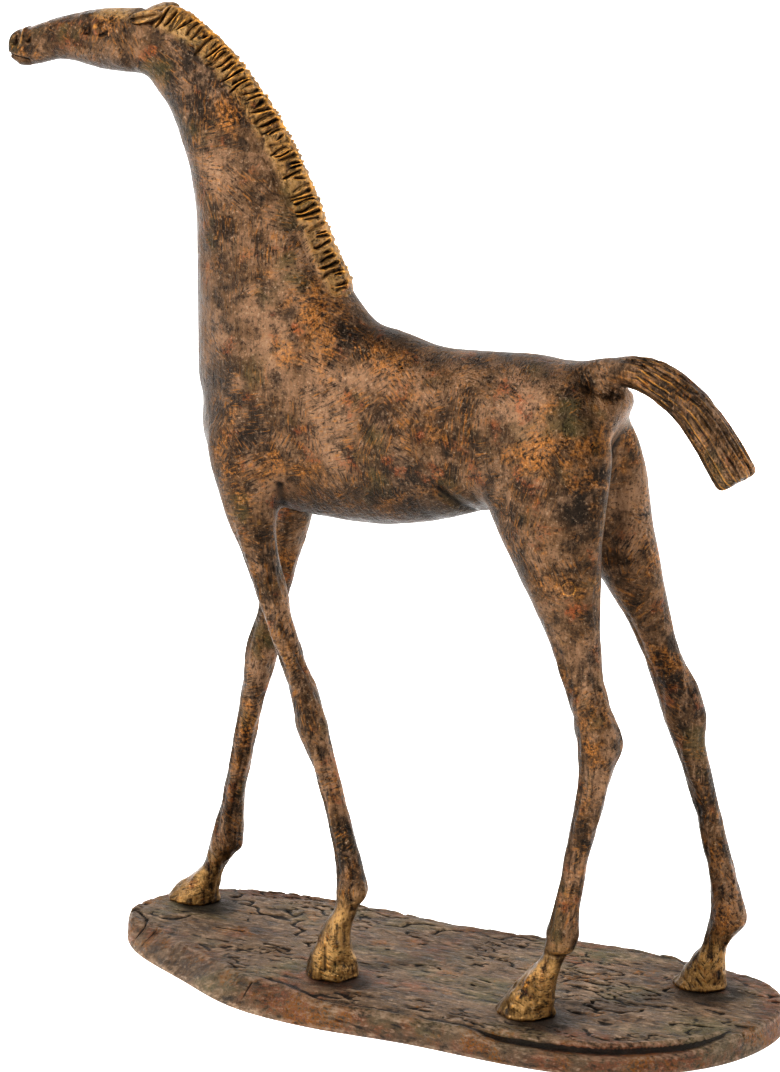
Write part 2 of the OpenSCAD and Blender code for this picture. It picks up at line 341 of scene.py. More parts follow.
def rough_horse():
    """The horse's skin, its castings blended into each other."""
    mesh = solid_skin(CASTINGS + FILLERS, VOXEL)
    skin = Skin(mesh)
    label = casting_of(skin.co)
    weight = blend_weight(skin.co)
    weight[np.isin(label, (HEAD, TAIL))] = 0.05
    weight = skin.blur(weight, 20)
    skin.relax(weight, 120)
    skin.relax(np.full(len(skin.co), 0.4), 4)
    fine = label != TORSO
    fine &= (label != NECK) | (skin.co[:, 2] > at("neck", 0, 0, 0.6)[2])
    skin.write()
    skin = Skin(refine(mesh, fine))
    skin.relax(np.full(len(skin.co), 0.4), 3)
    return skin


def line_distance(points, line):
    """Distance from an open line of straight stretches."""
    best = np.full(len(points), 1e9)
    for a, b in zip(line[:-1], line[1:]):
        step = b - a
        share = np.clip(((points - a) @ step) / (step @ step), 0, 1)
        best = np.minimum(best, size_of(points - a - share[:, None] * step))
    return best


class Sculpt:
    """Heights to push the horse's skin by, built up feature by feature."""

    def __init__(self, skin):
        self.skin = skin
        self.co = skin.co.copy()
        self.normal = skin.normals()
        self.label = casting_of(self.co)
        self.height = np.zeros(len(self.co))

    def add(self, node, height, line, width, sides=(LEFT, RIGHT)):
        """Height round a line drawn on a casting's sides, in shares of the CAD node's box."""
        spots = np.array([at(node, x, 0, z)[[0, 2]] for x, z in line])
        if len(spots) == 1:
            away = size_of(self.co[:, [0, 2]] - spots[0])
        else:
            away = line_distance(self.co[:, [0, 2]], spots)
        facing = sum(smooth(2.2 * side * self.normal[:, 1]) for side in sides)
        reach = np.exp(-(away / width) ** 2) * facing
        low, high = corners(node)
        level = smooth((self.co[:, 2] - low[2] + 8) / 8)
        across = abs(self.co[:, 1]) < max(-low[1], high[1]) + 4
        self.height += height * (reach * level * across)

    def finish(self):
        self.skin.co = self.co + self.normal * self.height[:, None]


def sculpt_head(work):
    mark = functools.partial(work.add, "head")
    mark(-1.7, [(0.49, 0.68)], 1.7)  # eye socket
    mark(1.9, [(0.555, 0.73)], 1.7)  # eye
    mark(-1.1, [(0.575, 0.63), (0.61, 0.68)], 0.7)  # its corner
    mark(0.6, [(0.44, 0.84), (0.52, 0.89), (0.62, 0.82)], 0.8)  # brow
    mark(-0.7, [(0.475, 0.48)], 2.2)  # hollow below the eye
    edge = [(0.44, 0.62), (0.41, 0.48), (0.46, 0.34), (0.53, 0.4), (0.54, 0.5)]
    mark(0.25, edge, 0.7)
    mark(0.7, [(0.64, 0.55), (0.66, 0.36)], 3.6)  # cheek
    mark(-0.6, [(0.72, 0.75), (0.745, 0.5), (0.72, 0.3)], 1.3)
    mark(0.5, [(0.78, 0.22), (0.82, 0.3)], 1.8)  # end of the jaw
    mark(-2.4, [(0.05, 0.42), (0.06, 0.5)], 1.1)  # nostril
    mark(0.6, [(0.05, 0.68), (0.1, 0.6), (0.1, 0.42)], 0.8)
    mark(-1.5, [(0.135, 0.46)], 0.9)
    mark(-1.0, [(0.0, 0.23), (0.06, 0.2), (0.13, 0.17)], 0.6)  # mouth
    mark(0.5, [(0.07, 0.1), (0.12, 0.08)], 1.2)  # lower lip
    mark(0.35, [(0.12, 0.72), (0.3, 0.84), (0.44, 0.93)], 1.2)
    mark(-0.4, [(0.2, 0.45), (0.36, 0.55)], 2.2)  # below the nose bone


def sculpt_body(work):
    mark = functools.partial(work.add, "torso")
    work.add("neck", 0.6, [(0.2, 0.75), (0.36, 0.45), (0.42, 0.15)], 6)
    work.add("neck", -0.5, [(0.55, 0.5), (0.68, 0.2)], 7)
    mark(0.8, [(0.14, 0.75), (0.17, 0.55)], 9)  # shoulder
    mark(-0.8, [(0.36, 0.62), (0.3, 0.42), (0.26, 0.33)], 5)  # behind the shoulder
    mark(-0.9, [(0.23, 0.33), (0.225, 0.27)], 1.6)  # elbow
    mark(-1.0, [(0.68, 0.68), (0.66, 0.5)], 8)  # flank
    mark(0.5, [(0.59, 0.43), (0.65, 0.35)], 2.4)  # stifle
    mark(-1.0, [(0.585, 0.38), (0.63, 0.31)], 1.8)
    mark(0.8, [(0.8, 0.68), (0.8, 0.45), (0.82, 0.25)], 8)  # haunch
    mark(-1.0, [(0.89, 0.72), (0.915, 0.6), (0.91, 0.4), (0.9, 0.2)], 3.0)
    mark(-1.0, [(0.86, 0.73), (0.93, 0.7)], 2.0)  # under the tail's root
    chest = np.exp(-(work.co[:, 1] / 2.2) ** 2) * smooth(-work.normal[:, 0] * 2)
    low = smooth((at("torso", 0, 0, 0.55)[2] - work.co[:, 2]) / 25)
    work.height -= 1.6 * chest * low * (work.label == TORSO)


def limb_frame(work, limb):
    """Which vertices lie on a limb, the angle of each round its middle (0 is behind) and height."""
    top = PLANES[limb][0]
    on = in_quarter(work.co, limb) & (work.co[:, 2] < top + 12)
    co = work.co[on]
    level = np.round(co[:, 2] / 2).astype(int)
    count = np.maximum(np.bincount(level), 1)
    middle = np.array([np.bincount(level, co[:, a]) / count for a in (0, 1)]).T
    offset = co[:, :2] - middle[level]
    angle = np.arctan2(offset[:, 1] * side_of(limb), offset[:, 0])
    return on, angle, co[:, 2]


def furrow(angle, place, width):
    """Weight round an angle, in degrees, measured from the rear towards the outer side."""
    away = (np.degrees(angle) - place + 180) % 360 - 180
    return np.exp(-(away / width) ** 2)


def sculpt_limb(work, limb):
    """Tendons, knee or hock, and hoof."""
    on, angle, z = limb_frame(work, limb)
    top, ankle = PLANES[limb]
    sole = corners(limb + "_foot")[0][2]
    knee = at(limb + "_leg", 0, 0, 0.5 if limb.endswith("fore") else 0.69)[2]
    height = np.zeros(len(z))
    cannon = smooth((z - ankle - 4) / 8) * smooth((knee - 6 - z) / 6)
    upper = smooth((z - knee - 8) / 10)
    wander = 12 * noise(work.co[on], (20, 20, 16), 5)
    for place, depth in ((55, 0.55), (122, 0.35), (-55, 0.45), (-122, 0.3)):
        height -= depth * cannon * furrow(angle, place + wander, 13)
    for place, depth in ((35, 0.5), (78, 0.45), (128, 0.55), (-60, 0.5), (-120, 0.4)):
        height -= depth * upper * furrow(angle, place + 2 * wander, 12)
    joint = np.exp(-((z - knee) / 7) ** 2)
    height += joint * (0.55 * noise(work.co[on], 5, 11) + 0.35 * furrow(angle, 90, 30))
    height -= 0.6 * joint * furrow(angle, 50, 14)
    height -= 0.4 * np.exp(-((z - knee - 8) / 1.6) ** 2) * furrow(angle, 120, 60)
    fetlock = np.exp(-((z - ankle - 4) / 5) ** 2)
    height += 0.4 * fetlock * furrow(angle, 10, 45)
    height += 0.35 * fetlock * noise(work.co[on], 4, 12)
    crown = sole + 0.42 * (ankle - sole)
    height -= 0.3 * np.exp(-((z - crown) / 1.4) ** 2) * furrow(angle, 130, 70)
    waist = np.exp(-((z - ankle + 3) / 4) ** 2)
    height -= waist * (1.1 if limb == "left_fore" else 0.5)
    wall = smooth((crown - z) / 5)
    height += wall * 0.5 * noise(work.co[on], (5, 5, 2.5), 13)
    height += 0.5 * np.exp(-((z - sole - 0.6) / 1.0) ** 2) * (0.5 + 0.5 * noise(work.co[on], 4, 14))
    height -= 0.7 * wall * furrow(angle, 25, 16)
    height += 0.4 * noise(work.co[on], (1.8, 1.8, 13), 15) * smooth((top + 4 - z) / 20)
    work.height[on] += height * smooth((top + 8 - z) / 10)


def sculpt_hooves(work):
    """The hollow toe of the left hind hoof, and the dents in the left fore hoof."""
    work.add("left_hind_foot", -1.5, [(0.24, 0.16)], 1.6, (LEFT,))
    work.add("left_hind_foot", 0.7, [(0.36, 0.2), (0.5, 0.5), (0.62, 0.8)], 1.3, (LEFT,))
    work.add("left_hind_foot", -0.8, [(0.66, 0.3), (0.6, 0.55)], 1.0, (LEFT,))
    work.add("left_fore_foot", -1.0, [(0.42, 0.4), (0.47, 0.16)], 0.9, (LEFT,))
    work.add("left_fore_foot", 0.6, [(0.6, 0.75), (0.62, 0.3)], 1.5, (LEFT,))
    work.add("left_fore_foot", 0.6, [(0.3, 0.26)], 2.0, (LEFT,))


def sculpt_hem(work):
    """The left hind cannon ends in an overhanging hem above a slimmer pastern."""
    limb = "left_hind"
    on, angle, z = limb_frame(work, limb)
    ankle = PLANES[limb][1]
    above = smooth((z - ankle) / 0.9) * smooth((ankle + 9 - z) / 8)
    below = smooth((ankle - z) / 0.8) * smooth((z - ankle + 9) / 8)
    outer = furrow(angle, 50, 75)
    work.height[on] += outer * (0.7 * above - 0.9 * below)


def sculpt_tail(work):
    """Strands along the tail."""
    line = [(0, 0.87), (0.19, 0.86), (0.38, 0.77), (0.55, 0.61)]
    line += [(0.7, 0.4), (0.83, 0.18), (0.93, 0.02)]
    spots = np.array([at("tail", x, 0, z)[[0, 2]] for x, z in line])
    on = work.label == TAIL
    co = work.co[on][:, [0, 2]]
    best = np.full(len(co), 1e9)
    above = np.zeros(len(co))
    for a, b in zip(spots[:-1], spots[1:]):
        length = np.linalg.norm(b - a)
        step = (b - a) / length
        gap = co - a - np.clip((co - a) @ step, 0, length)[:, None] * step
        away = size_of(gap)
        rise = gap @ np.array((-step[1], step[0]))
        above = np.where(away < best, rise, above)
        best = np.minimum(best, away)
    angle = np.arctan2(work.co[on][:, 1], above)
    wander = 0.5 * noise(work.co[on], 14, 21)
    strands = np.cos(13 * (angle + wander)) + 0.6 * np.cos(29 * angle + 5 * wander)
    begin = smooth((work.co[on][:, 0] - spots[0][0]) / 10)
    work.height[on] += 0.36 * strands * begin * (0.6 + 0.4 * noise(work.co[on], 8, 22))


def sculpt_hands(work):
    """Marks of the modelling: broad dents, thumbed planes and a fine grain."""
    co = work.co
    work.height += 0.34 * fractal(co, 15, 2, 31)
    work.height += 0.2 * fractal(co, (5, 5, 6.5), 3, 35)
    work.height += 0.05 * noise(co, 1.3, 39) * (work.label != TORSO)


def gilded(work):
    """From 0 to 1 where rubbing left the patina golden: feet, brow and the foot of the mane."""
    gold = np.zeros(len(work.co))
    for limb in LIMBS:
        ankle = PLANES[limb][1]
        near_foot = in_quarter(work.co, limb) * smooth((ankle + 8 - work.co[:, 2]) / 14)
        gold = np.maximum(gold, near_foot)
    brow = size_of((work.co - at("head", 0.62, 0.4, 0.95)) / (7, 6, 3))
    gold = np.maximum(gold, smooth(1.6 - brow))
    neck_only = (work.label == NECK) | (work.label == TORSO)
    high = smooth((work.co[:, 2] - 240) / 10) * neck_only
    return np.maximum(gold, 0.7 * high * mane_bed(work.co))


def sculpt_horse(skin):
    work = Sculpt(skin)
    sculpt_head(work)
    sculpt_body(work)
    for limb in LIMBS:
        sculpt_limb(work, limb)
    sculpt_hem(work)
    sculpt_hooves(work)
    sculpt_tail(work)
    sculpt_hands(work)
    work.height -= 1.1 * mane_bed(work.co)
    work.skin.keep("gilded", gilded(work))
    # Painted shade: faces turned down or to the front (-x) are painted darker, as less light falls
    # on them.
    under = np.maximum(-0.9 * work.normal[:, 0], -work.normal[:, 2])
    work.skin.keep("painted_shade", smooth(1.5 * under - 0.25))
    work.skin.keep("streaked", smooth((150 - work.co[:, 2]) / 40) + (work.label == TAIL))
    for place, _ in plug_places():
        ring = abs(size_of(work.co - place) - PLUG_RADIUS - 0.2)
        work.height -= 0.25 * np.exp(-(ring / 0.4) ** 2)
    work.finish()


# ---------------------------------------------------------------- mane

MANE_GRID = (620, 81)    # rows along the crest, points across it
MANE_REACH = 8.5        # how far the mane spreads down each side


def crest_line(count):
    """Evenly spaced points along the mane, from the poll to the withers."""
    shares = [(-0.07, 0.985), (0.0, 0.965), (0.11, 0.92), (0.25, 0.84), (0.4, 0.73), (0.55, 0.59),
              (0.69, 0.43), (0.8, 0.27), (0.89, 0.13), (0.97, -0.01), (1.03, -0.12), (1.1, -0.21)]
    bends = np.array([at("mane", x, 0.5, z) for x, z in shares])
    steps = np.r_[0, np.cumsum(size_of(np.diff(bends, axis=0)))]
    fine = np.linspace(0, steps[-1], count)
    line = np.array([np.interp(fine, steps, bends[:, k]) for k in range(3)]).T
    for _ in range(count // 12):
        line[1:-1] = (line[:-2] + line[2:]) / 2
    return line, steps[-1]


def mane_bed(points):
    """From 0 to 1 under the mane, where the neck is sunk to take it."""
    line, _ = crest_line(60)
    near_crest = points[:, 2] > line[-1][2] - 6
    weight = np.zeros(len(points))
    chosen = np.flatnonzero(near_crest)
    weight[chosen] = smooth((MANE_REACH - line_distance(points[chosen], line)) / 3)
    return weight * smooth((points[:, 2] - line[-1][2] - 2) / 8)


def lock_cuts(along, away, side):
    """The mane's locks down one side: 1 in the cuts between them, below 0 on the raised ones."""
    rng = np.random.default_rng(7 + side)
    cuts = np.zeros_like(along)
    raised = np.zeros_like(along)
    start = -1.0
    while start < along.max():
        pitch = rng.uniform(1.3, 2.6)
        slant = rng.uniform(-0.25, 0.1)
        top, end = rng.uniform(0.3, 1.6), rng.uniform(4.0, 8.8)
        half = pitch * rng.uniform(0.16, 0.3)
        bend = 0.35 * np.sin(away * rng.uniform(0.4, 1.0) + start)
        line = along - start - slant * away - bend
        length = smooth((away - top) / 0.8 + 0.5) * smooth((end - away) / 2.5)
        narrow = half * (0.5 + 0.5 * length)
        cuts = np.maximum(cuts, rng.uniform(0.45, 1.1) * length * np.exp(-(line / narrow) ** 2))
        lock = np.exp(-((line - pitch / 2) / (0.4 * pitch)) ** 2)
        raised += rng.uniform(0, 0.35) * length * lock
        start += pitch
    return cuts - raised


def crest_fan(skin_tree):
    """Rays from inside the neck out through its crest, a fan of them in each row.

    Gives the points where they meet the skin, their directions, how far the CAD mane rises over
    the crest at each row, and the length of the crest.
    """
    rows, columns = MANE_GRID
    line, length = crest_line(rows)
    tangent = np.gradient(line, axis=0)
    tangent /= size_of(tangent)[:, None]
    out = np.cross(tangent, ACROSS)
    out *= np.sign(out[:, 2:3] + out[:, 0:1])
    cad_tree = tree_of(frame["nodes"]["mane"].data)
    inside, far = 9.0, 30.0
    cores = line - inside * out
    top = np.zeros((rows, columns, 3))
    rise = np.zeros(rows)
    for i, core in enumerate(cores):
        for j, turn in enumerate(np.radians(np.linspace(-88, 88, columns))):
            way = math.cos(turn) * out[i] + math.sin(turn) * ACROSS
            hit = skin_tree.ray_cast(Vector(core), Vector(way), far)
            top[i, j] = core + way * (hit[3] if hit[0] is not None else 8.0)
        hit = cad_tree.ray_cast(Vector(core + out[i] * far), Vector(-out[i]), far)
        crown = far - hit[3] if hit[0] is not None else inside + 2
        rise[i] = np.clip(crown - (top[i, columns // 2] - core) @ out[i], 1.5, 4)
    for _ in range(30):
        rise[1:-1] = (rise[:-2] + rise[2:]) / 2
    ways = top - cores[:, None, :]
    return top, ways / np.linalg.norm(ways, axis=2)[:, :, None], rise, length


def make_mane(skin_tree):
    """A strip over the crest with cross-cut locks down both sides."""
    rows, columns = MANE_GRID
    top, way, rise, length = crest_fan(skin_tree)
    steps = np.linalg.norm(np.diff(top, axis=1), axis=2)
    arc = np.concatenate([np.zeros((rows, 1)), np.cumsum(steps, axis=1)], axis=1)
    arc -= arc[:, columns // 2][:, None]
    along = np.linspace(0, length, rows)[:, None] + 0 * arc
    away = abs(arc)
    cuts = np.where(arc < 0, lock_cuts(along, away, LEFT), lock_cuts(along, away, RIGHT))
    rough = fractal(top.reshape(-1, 3), 1.8, 2, 51).reshape(rows, columns)
    crest = (rise[:, None] - 1.25) * np.exp(-(away / 4.5) ** 2)
    lift = 1.1 * smooth((MANE_REACH - away) / 3) + 0.15 + crest
    lift += 0.25 * rough * smooth((8 - away) / 3) - 1.6 * cuts * (1 + 0.3 * rough)
    fade = smooth((9.8 - away) / 1.0)
    ends = smooth(along / 4) * smooth((length - along) / 9)
    lift = ends * fade * (lift + 1.3) - 1.3
    mane = grid_solid("mane_bronze", top + way * lift[:, :, None], top - way * 2.4)
    skin = Skin(mane.data)
    spread = np.tile(away.ravel(), 2)
    rim = 0.07 * np.exp(-(spread / 0.9) ** 2)
    skin.keep("relief", skin.relief(8) * smooth((7.5 - spread) / 1.5) + rim)
    skin.keep("gilded", 0.7 * smooth((MANE_REACH - spread) / 3))
    return mane


def grid_solid(name, upper, lower):
    """Closed solid between two grids of points."""
    rows, columns, _ = upper.shape
    index = np.arange(rows * columns).reshape(rows, columns)
    under = index + rows * columns

    def quads(a):
        return np.stack([a[:-1, :-1], a[1:, :-1], a[1:, 1:], a[:-1, 1:]], -1).reshape(-1, 4)

    faces = [quads(index), quads(under)[:, ::-1]]
    for a, b in ((index[0], under[0]), (index[-1][::-1], under[-1][::-1]),
                 (index[:, 0][::-1], under[:, 0][::-1]), (index[:, -1], under[:, -1])):
        faces.append(np.stack([a[:-1], a[1:], b[1:], b[:-1]], -1))
    co = np.concatenate([upper.reshape(-1, 3), lower.reshape(-1, 3)])
    return new_object(name, closed_mesh(name, co, np.concatenate(faces).tolist()))


def with_relief(name, mesh):
    """Object that knows its own relief."""
    skin = Skin(mesh)
    skin.keep("relief", skin.relief(8))
    return new_object(name, mesh)


def tree_of(mesh):
    """A mesh to cast rays at, in mm."""
    co = points_of(mesh)
    return BVHTree.FromPolygons(co.tolist(), [tuple(p.vertices) for p in mesh.polygons])


# ---------------------------------------------------------------- ears and plugs

def make_ear(node):
    """A folded leaf laid back along the poll, its slot opening outwards."""
    side = side_of(node)
    rows, around = 90, 64
    share = np.linspace(0, 1, rows)
    low, high = corners(node)
    size = high - low
    lift = 0.0 if side == LEFT else 0.1
    start = low + size * (0.2, 0.5 - 0.1 * side, 0.1 + lift)
    end = low + size * (1.05, 0.5 + 0.05 * side, 0.5 + lift)
    spine = start + (end - start) * share[:, None]
    plump = np.sin(math.pi * np.clip(share, 0.004, 0.996)) ** 0.55
    turn = np.linspace(0, 2 * math.pi, around, endpoint=False)
    away = (turn - math.radians(12) + math.pi) % (2 * math.pi) - math.pi
    slot = np.exp(-(away / 0.5) ** 2)
    lips = np.exp(-((abs(away) - 0.95) / 0.3) ** 2)
    opened = smooth(share / 0.2) * smooth((1 - share) / 0.25)
    radius = plump[:, None] * (1 + opened[:, None] * (0.2 * lips - 0.8 * slot))
    up = np.array((0.25, 0, 0.97))
    cosine, sine = np.cos(turn)[None, :, None], np.sin(turn)[None, :, None]
    ring = cosine * ACROSS * side * 2.4 + sine * up * 2.2
    co = spine[:, None, :] + radius[:, :, None] * ring
    co += 0.3 * fractal(co.reshape(-1, 3), 1.5, 3, 61).reshape(rows, around, 1) * ring / 2.5
    ear = tube_solid(node + "_bronze", co)
    skin = Skin(ear.data)
    skin.keep("gilded", np.full(len(skin.co), 0.6))
    return ear


def tube_solid(name, rings):
    """Closed solid through a row of rings."""
    rows, around, _ = rings.shape
    index = np.arange(rows * around).reshape(rows, around)
    after = np.roll(index, -1, axis=1)
    faces = np.stack([index[:-1], after[:-1], after[1:], index[1:]], -1).reshape(-1, 4).tolist()
    faces += [index[0][::-1].tolist(), index[-1].tolist()]
    return with_relief(name, closed_mesh(name, rings.reshape(-1, 3), faces))


PLUG_RADIUS = 2.9


def plug_places():
    """Centre of each core plug's outer face and the way it looks."""
    co = points_of(frame["nodes"]["core_plugs"].data)
    left, fore = co[:, 1] < 0, co[:, 0] < 0
    places = []
    for group in (co[left], co[~left & ~fore], co[~left & fore]):
        away = group[:, 1] * np.sign(group[:, 1].mean())
        outer, inner = group[away > np.median(away)], group[away < np.median(away)]
        way = outer.mean(0) - inner.mean(0)
        places.append((outer.mean(0), way / np.linalg.norm(way)))
    return places


def make_plugs(skin_tree):
    """Round plugs that follow the skin, a hair proud of it."""
    rings, around = 8, 40
    bm = bmesh.new()
    for place, way in plug_places():
        u = np.array(Vector(way).orthogonal().normalized())
        v = np.cross(way, u)

        def spot(share, k, deep):
            turn = 2 * math.pi * k / around
            p = place + PLUG_RADIUS * share * (math.cos(turn) * u + math.sin(turn) * v)
            hit = skin_tree.ray_cast(Vector(p + way * 8), Vector(-way), 16)
            height = 8 - hit[3] if hit[0] is not None else 0.0
            return p + way * (height + deep)

        crown = [[bm.verts.new(spot(r / rings, k, 0.05 - 0.2 * (r / rings) ** 6) * MM)
                  for k in range(around)] for r in range(1, rings + 1)]
        crown.append([bm.verts.new((spot(1, k, 0) - way * 2.5) * MM) for k in range(around)])
        for a, b in zip(crown[:-1], crown[1:]):
            for k in range(around):
                m = (k + 1) % around
                bm.faces.new((a[k], a[m], b[m], b[k]))
        bm.faces.new(crown[0])
        bm.faces.new(crown[-1])
    mesh = turn_outwards(bm, bpy.data.meshes.new("core_plug_discs"))
    set_smooth(mesh)
    return with_relief("core_plug_discs", mesh)


# ---------------------------------------------------------------- slab

def slab_outline(count):
    """Evenly spaced points round the slab, read from the CAD plate, counter-clockwise."""
    low, high = corners("base_plate")
    co = points_of(frame["nodes"]["base_plate"].data)
    bottom = {tuple(p) for p in np.round(co[co[:, 2] < 0.01][:, :2], 2).tolist()}
    upper = {tuple(p) for p in np.round(co[co[:, 2] > 7][:, :2], 2).tolist()}
    rim = np.array(sorted(bottom & upper))
    centre = (low[:2] + high[:2]) / 2
    rim = rim[np.argsort(np.arctan2(rim[:, 1] - centre[1], rim[:, 0] - centre[0]))]
    loop = np.vstack([rim, rim[:1]])
    steps = np.r_[0, np.cumsum(size_of(np.diff(loop, axis=0)))]
    even = np.linspace(0, steps[-1], count, endpoint=False)
    edge = np.array([np.interp(even, steps, loop[:, k]) for k in range(2)]).T
    return rounded(edge, 12)


def rounded(ring, times):
    for _ in range(times):
        ring = (np.roll(ring, 1, axis=0) + 2 * ring + np.roll(ring, -1, axis=0)) / 4
    return ring


def outward(ring):
    along = np.roll(ring, -1, axis=0) - np.roll(ring, 1, axis=0)
    way = rounded(np.array([along[:, 1], -along[:, 0]]).T, 300)
    return way / size_of(way)[:, None]


def stretch(x, start, end, soft):
    """From 0 to 1 between two places along the slab, with soft ends."""
    return smooth((x - start) / soft + 0.5) * smooth((end - x) / soft + 0.5)


def slab_rim(points):
    """What the slab's edge does near these points: wall slope, shelf and lip, each from 0 to 1."""
    low, high = corners("base_plate")
    x = (points[:, 0] - low[0]) / (high[0] - low[0])
    near_side = smooth(-points[:, 1] / 12 - 0.2)
    slope = stretch(x, -0.2, 0.38, 0.12) * near_side
    shelf = stretch(x, 0.66, 0.95, 0.07) * near_side
    lip = stretch(x, 0.3, 0.68, 0.1) * near_side
    return slope, shelf, lip


def slab_height(points, inside):
    """Height of the slab's worn, layered top over its level, from the distance inside its rim."""
    _, shelf, lip = slab_rim(points)
    flat = np.column_stack([points, np.zeros(len(points))])
    warp = 5 * fractal(flat, 30, 2, 71)
    warped = flat + np.column_stack([0 * warp, warp, 0 * warp])
    layers = 2.6 * fractal(warped, (38, 10, 1), 3, 73)
    part = layers - np.floor(layers)
    height = 0.3 * (np.floor(layers) + smooth((part - 0.3) / 0.5)) - 0.1
    height += 0.22 * fractal(warped, (9, 3, 1), 3, 75)
    crack = abs(fractal(warped, (17, 5.5, 1), 2, 77))
    broken = smooth(3 * fractal(flat, (11, 8, 1), 2, 79))
    height -= 1.0 * np.exp(-(crack / 0.06) ** 2) * broken
    fine = abs(fractal(warped, (8, 2.6, 1), 2, 83))
    height -= 0.6 * np.exp(-(fine / 0.09) ** 2) * smooth(2.5 * fractal(flat, 13, 2, 85) + 0.2)
    height += 0.22 * fractal(flat, (3.4, 1.5, 1), 3, 87)
    hollow = at("base_plate", 0.23, 0.37, 0)[:2]
    knot = size_of((points - hollow) / (1.5, 1))
    height -= 0.9 * np.exp(-(knot / 3.5) ** 2) * (1 + 0.8 * fractal(warped, 2.5, 2, 89))
    height *= 1 - 0.85 * shelf * smooth((9 - inside) / 3)
    for limb in LIMBS:
        clear = smooth((size_of(points - sole_of(limb)) - 8.5) / 5)
        height = height * clear + 0.15 * (1 - clear)
    edge = fractal(flat, 12, 2, 91)
    height -= 3.0 * shelf * smooth((5.5 + 0.8 * edge - inside) / 1.1)
    height += 0.8 * lip * np.exp(-((inside - 1.6) / 1.3) ** 2)
    height -= 0.7 * lip * np.exp(-((inside - 5) / 1.6) ** 2)
    return height - 0.7 * smooth((1.0 - inside) / 1.0)


def slab_grid(rim):
    """Staggered grid of points inside the slab's rim."""
    low, high = corners("base_plate")
    pitch, edge = 0.66, 0.8
    xs = np.arange(low[0], high[0], pitch)
    ys = np.arange(low[1], high[1], pitch * 0.9)
    gx, gy = np.meshgrid(xs, ys)
    gx = gx + (np.arange(len(ys)) % 2)[:, None] * pitch / 2
    spots = np.column_stack([gx.ravel(), gy.ravel()])
    centre = (low[:2] + high[:2]) / 2
    turn, spot_turn = (np.arctan2(*(p - centre).T[::-1]) for p in (rim, spots))
    order = np.argsort(turn)
    far = size_of(rim - centre)
    limit = np.interp(spot_turn, turn[order], far[order], period=2 * math.pi)
    return spots[size_of(spots - centre) < limit - edge]


def slab_rings(outline, way, inset, rim_z):
    """Rings of points down the slab's rough wall, and round the recess for the felt."""
    levels = 14
    for share in np.arange(1, levels + 1) / levels:
        z = rim_z * (1 - share)
        spot = np.column_stack([outline, z])
        bulge = 0.7 * fractal(spot, (8, 8, 3), 4, 95) * math.sin(math.pi * share) ** 0.5
        lean = inset * (1 - share) ** 1.3 + 0.5 * smooth((share - 0.9) / 0.1)
        yield np.column_stack([outline + way * (bulge - lean)[:, None], z])
    felt_high = corners("base_felt")[1]
    recess = outline - way * (corners("base_plate")[1][0] - felt_high[0] - 0.3)
    for z in (0.0, felt_high[2]):
        yield np.column_stack([recess, np.full(len(recess), z)])


def make_slab():
    """The slab with a fissured top, sloping sides and the recess for the felt underneath."""
    outline = slab_outline(880)
    way = outward(outline)
    slope, shelf, _ = slab_rim(outline)
    inset = 0.6 + 6.5 * slope + 0.5 * shelf
    rim = outline - way * inset[:, None]
    every = np.vstack([rim, slab_grid(rim)])
    tree = KDTree(len(rim))
    for k, (x, y) in enumerate(rim):
        tree.insert((x, y, 0), k)
    tree.balance()
    inside = np.array([tree.find((x, y, 0))[2] for x, y in every])
    edges = [(k, (k + 1) % len(rim)) for k in range(len(rim))]
    vectors = [Vector(v) for v in every.tolist()]
    flat, _, faces, _, _, _ = geometry.delaunay_2d_cdt(vectors, edges, [], 1, 1e-7)
    assert len(flat) == len(every), "the slab's points were merged"
    top = np.column_stack([every, corners("base_plate")[1][2] + slab_height(every, inside)])
    rings = list(slab_rings(outline, way, inset, top[:len(rim), 2]))
    polygons = [tuple(f) for f in faces]
    above = np.arange(len(rim))
    for k in range(len(rings)):
        below = np.arange(len(rim)) + len(top) + k * len(rim)
        polygons += np.stack([above, below, np.roll(below, -1), np.roll(above, -1)], -1).tolist()
        above = below
    polygons.append(above.tolist())
    mesh = closed_mesh("slab_bronze", np.concatenate([top, *rings]), polygons)
    mesh.polygons[len(mesh.polygons) - 1].use_smooth = False
    skin = Skin(mesh)
    skin.keep("relief", skin.relief(8))
    skin.keep("scorch", scorch(skin.co))
    edge_away = np.array([tree.find((x, y, 0))[2] for x, y, _ in skin.co])
    skin.keep("verge", smooth((9 - edge_away) / 8))
    return new_object("slab_bronze", mesh)


def scorch(co):
    """From 0 to 1 close round the hooves, centred a little towards +x and -y of each sole, where the
    slab is painted darker.
    """
    dark = np.zeros(len(co))
    for limb in LIMBS:
        offset = (co[:, :2] - sole_of(limb) - (5, -4)) / (15, 11)
        dark = np.maximum(dark, np.exp(-(offset ** 2).sum(1) ** 1.5))
    return dark


def cut(bm, faces, point, normal):
    """Cuts these faces along a plane. The dict keeps their order, so that every run is alike."""
    geom = dict.fromkeys(faces)
    for f in faces:
        geom.update(dict.fromkeys((*f.edges, *f.verts)))
    bmesh.ops.bisect_plane(bm, geom=list(geom), dist=0.002 * MM,
                           plane_co=point * MM, plane_no=normal)


def joint_zones(centres):
    """The faces round each joint of the horse, and the joint's plane."""
    for limb in LIMBS:
        for height in PLANES[limb]:
            zone = in_quarter(centres, limb) & (abs(centres[:, 2] - height) < 3)
            yield zone, height * UP, UP
    for joint, reach in ((HEAD_JOINT, 24), (NECK_JOINT, 40), (TAIL_JOINT, 11)):
        zone = near(centres, joint, reach) & (abs(beyond(centres, joint)) < 3)
        yield zone, *joint


